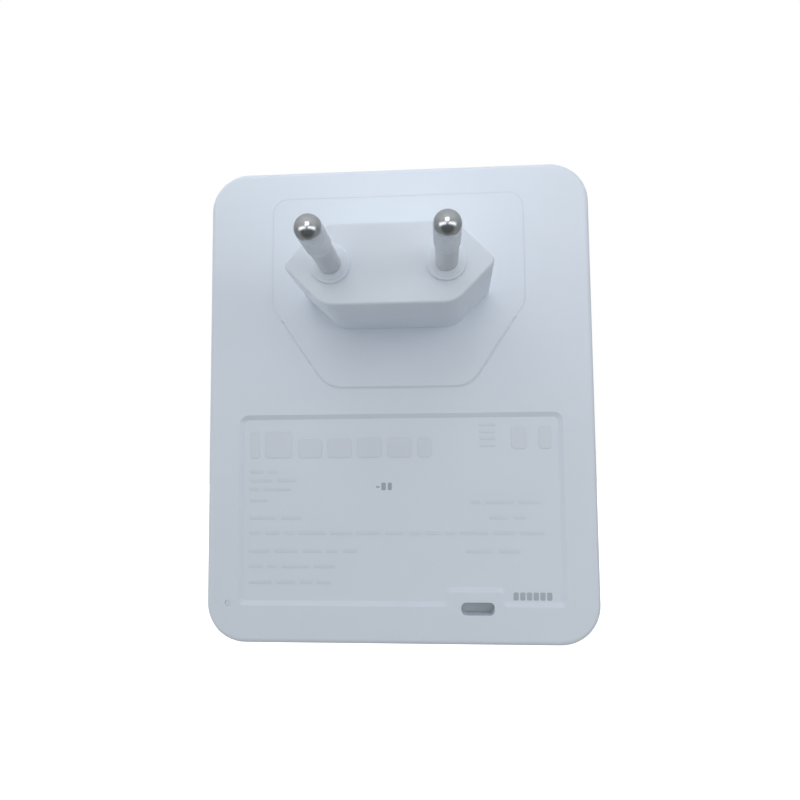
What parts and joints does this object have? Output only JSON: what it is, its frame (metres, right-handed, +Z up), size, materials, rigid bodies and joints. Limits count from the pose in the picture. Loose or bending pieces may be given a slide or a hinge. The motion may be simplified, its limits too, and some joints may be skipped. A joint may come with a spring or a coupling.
{
  "type": "powerline adapter",
  "caption": "White wall-plug powerline adapter with a fixed flat two-pin plug, clipped-on rear cover, network jack, status lights and a side pair button.",
  "frame": {"origin": "centre of the plug's engagement face, between the two pins", "axes": "+Z up as it hangs in a wall socket, -Y along the pins into the socket, +X to the right as seen from the plug side"},
  "size_m": [0.0752, 0.071, 0.0921],
  "materials": {
    "casing_plastic": "satin, fine spark texture",
    "plug_plastic": "satin",
    "pin_nickel": "nickel plated, polished tips",
    "sleeve_plastic": "satin",
    "contact_brass": "bright",
    "contact_gold": "gold flashed",
    "screw_steel": "zinc plated",
    "board_laminate": "solder mask",
    "chip_epoxy": "matt",
    "connector_plastic": "matt",
    "switch_plastic": "matt",
    "plunger_plastic": "satin",
    "fuse_glass": "clear glass with metal caps",
    "varistor_epoxy": "dipped epoxy",
    "film_capacitor_case": "gloss",
    "capacitor_sleeve": "shrink sleeve",
    "ferrite": "dull ferrite",
    "enamelled_wire": "enamelled copper",
    "winding_tape": "polyester tape",
    "bobbin_plastic": "matt",
    "heat_sink_aluminium": "extruded",
    "crystal_can": "tinned",
    "jack_steel": "tinned sheet",
    "led_resin": "clear resin",
    "light_pipe_acrylic": "frosted acrylic",
    "button_plastic": "satin"
  },
  "bodies": {
    "root": {"board_header": "connector_plastic", "bridge_rectifier": "chip_epoxy", "bulk_capacitor": "capacitor_sleeve", "choke_core": "ferrite", "choke_windings": "enamelled_wire", "crystal": "crystal_can", "ethernet_jack_body": "connector_plastic", "ethernet_jack_contacts": "contact_gold", "ethernet_jack_shield": "jack_steel", "ethernet_transformer": "chip_epoxy", "front_housing": "casing_plastic", "fuse": "fuse_glass", "header_socket": "connector_plastic", "heat_sink": "heat_sink_aluminium", "light_pipe": "light_pipe_acrylic", "line_coupler": "bobbin_plastic", "main_board": "board_laminate", "main_board_screws": "screw_steel", "memory_chip": "chip_epoxy", "optocoupler": "chip_epoxy", "output_capacitor": "capacitor_sleeve", "pair_switch_body": "switch_plastic", "pin_contacts": "contact_brass", "pin_sleeve_left": "sleeve_plastic", "pin_sleeve_right": "sleeve_plastic", "plug_insert": "plug_plastic", "plug_pin_left": "pin_nickel", "plug_pin_right": "pin_nickel", "power_board": "board_laminate", "power_board_screws": "screw_steel", "processor_chip": "chip_epoxy", "rear_cover": "casing_plastic", "reset_switch_body": "switch_plastic", "status_leds": "led_resin", "transformer_bobbin": "bobbin_plastic", "transformer_core": "ferrite", "transformer_winding": "winding_tape", "varistor": "varistor_epoxy", "x2_capacitor": "film_capacitor_case"},
    "pair_button_body": {"pair_button": "button_plastic"},
    "pair_plunger_body": {"pair_switch_plunger": "plunger_plastic"},
    "reset_plunger_body": {"reset_switch_plunger": "plunger_plastic"}
  },
  "joints": [
    {"name": "pair_button_press", "type": "slide", "parent": "root", "child": "pair_button_body", "axis": [1, 0, 0], "range_m": [0, 0.0005], "stiffness_N_per_m": 600, "springref_m": -0.0002},
    {"name": "pair_switch_press", "type": "slide", "parent": "root", "child": "pair_plunger_body", "axis": [1, 0, 0], "range_m": [0, 0.0005]},
    {"name": "reset_press", "type": "slide", "parent": "root", "child": "reset_plunger_body", "axis": [0, 1, 0], "range_m": [0, 0.0003], "stiffness_N_per_m": 600, "springref_m": -0.0002}
  ],
  "couplings": [
    {"joint": "pair_switch_press", "follows": "pair_button_press", "ratio": 1}
  ]
}
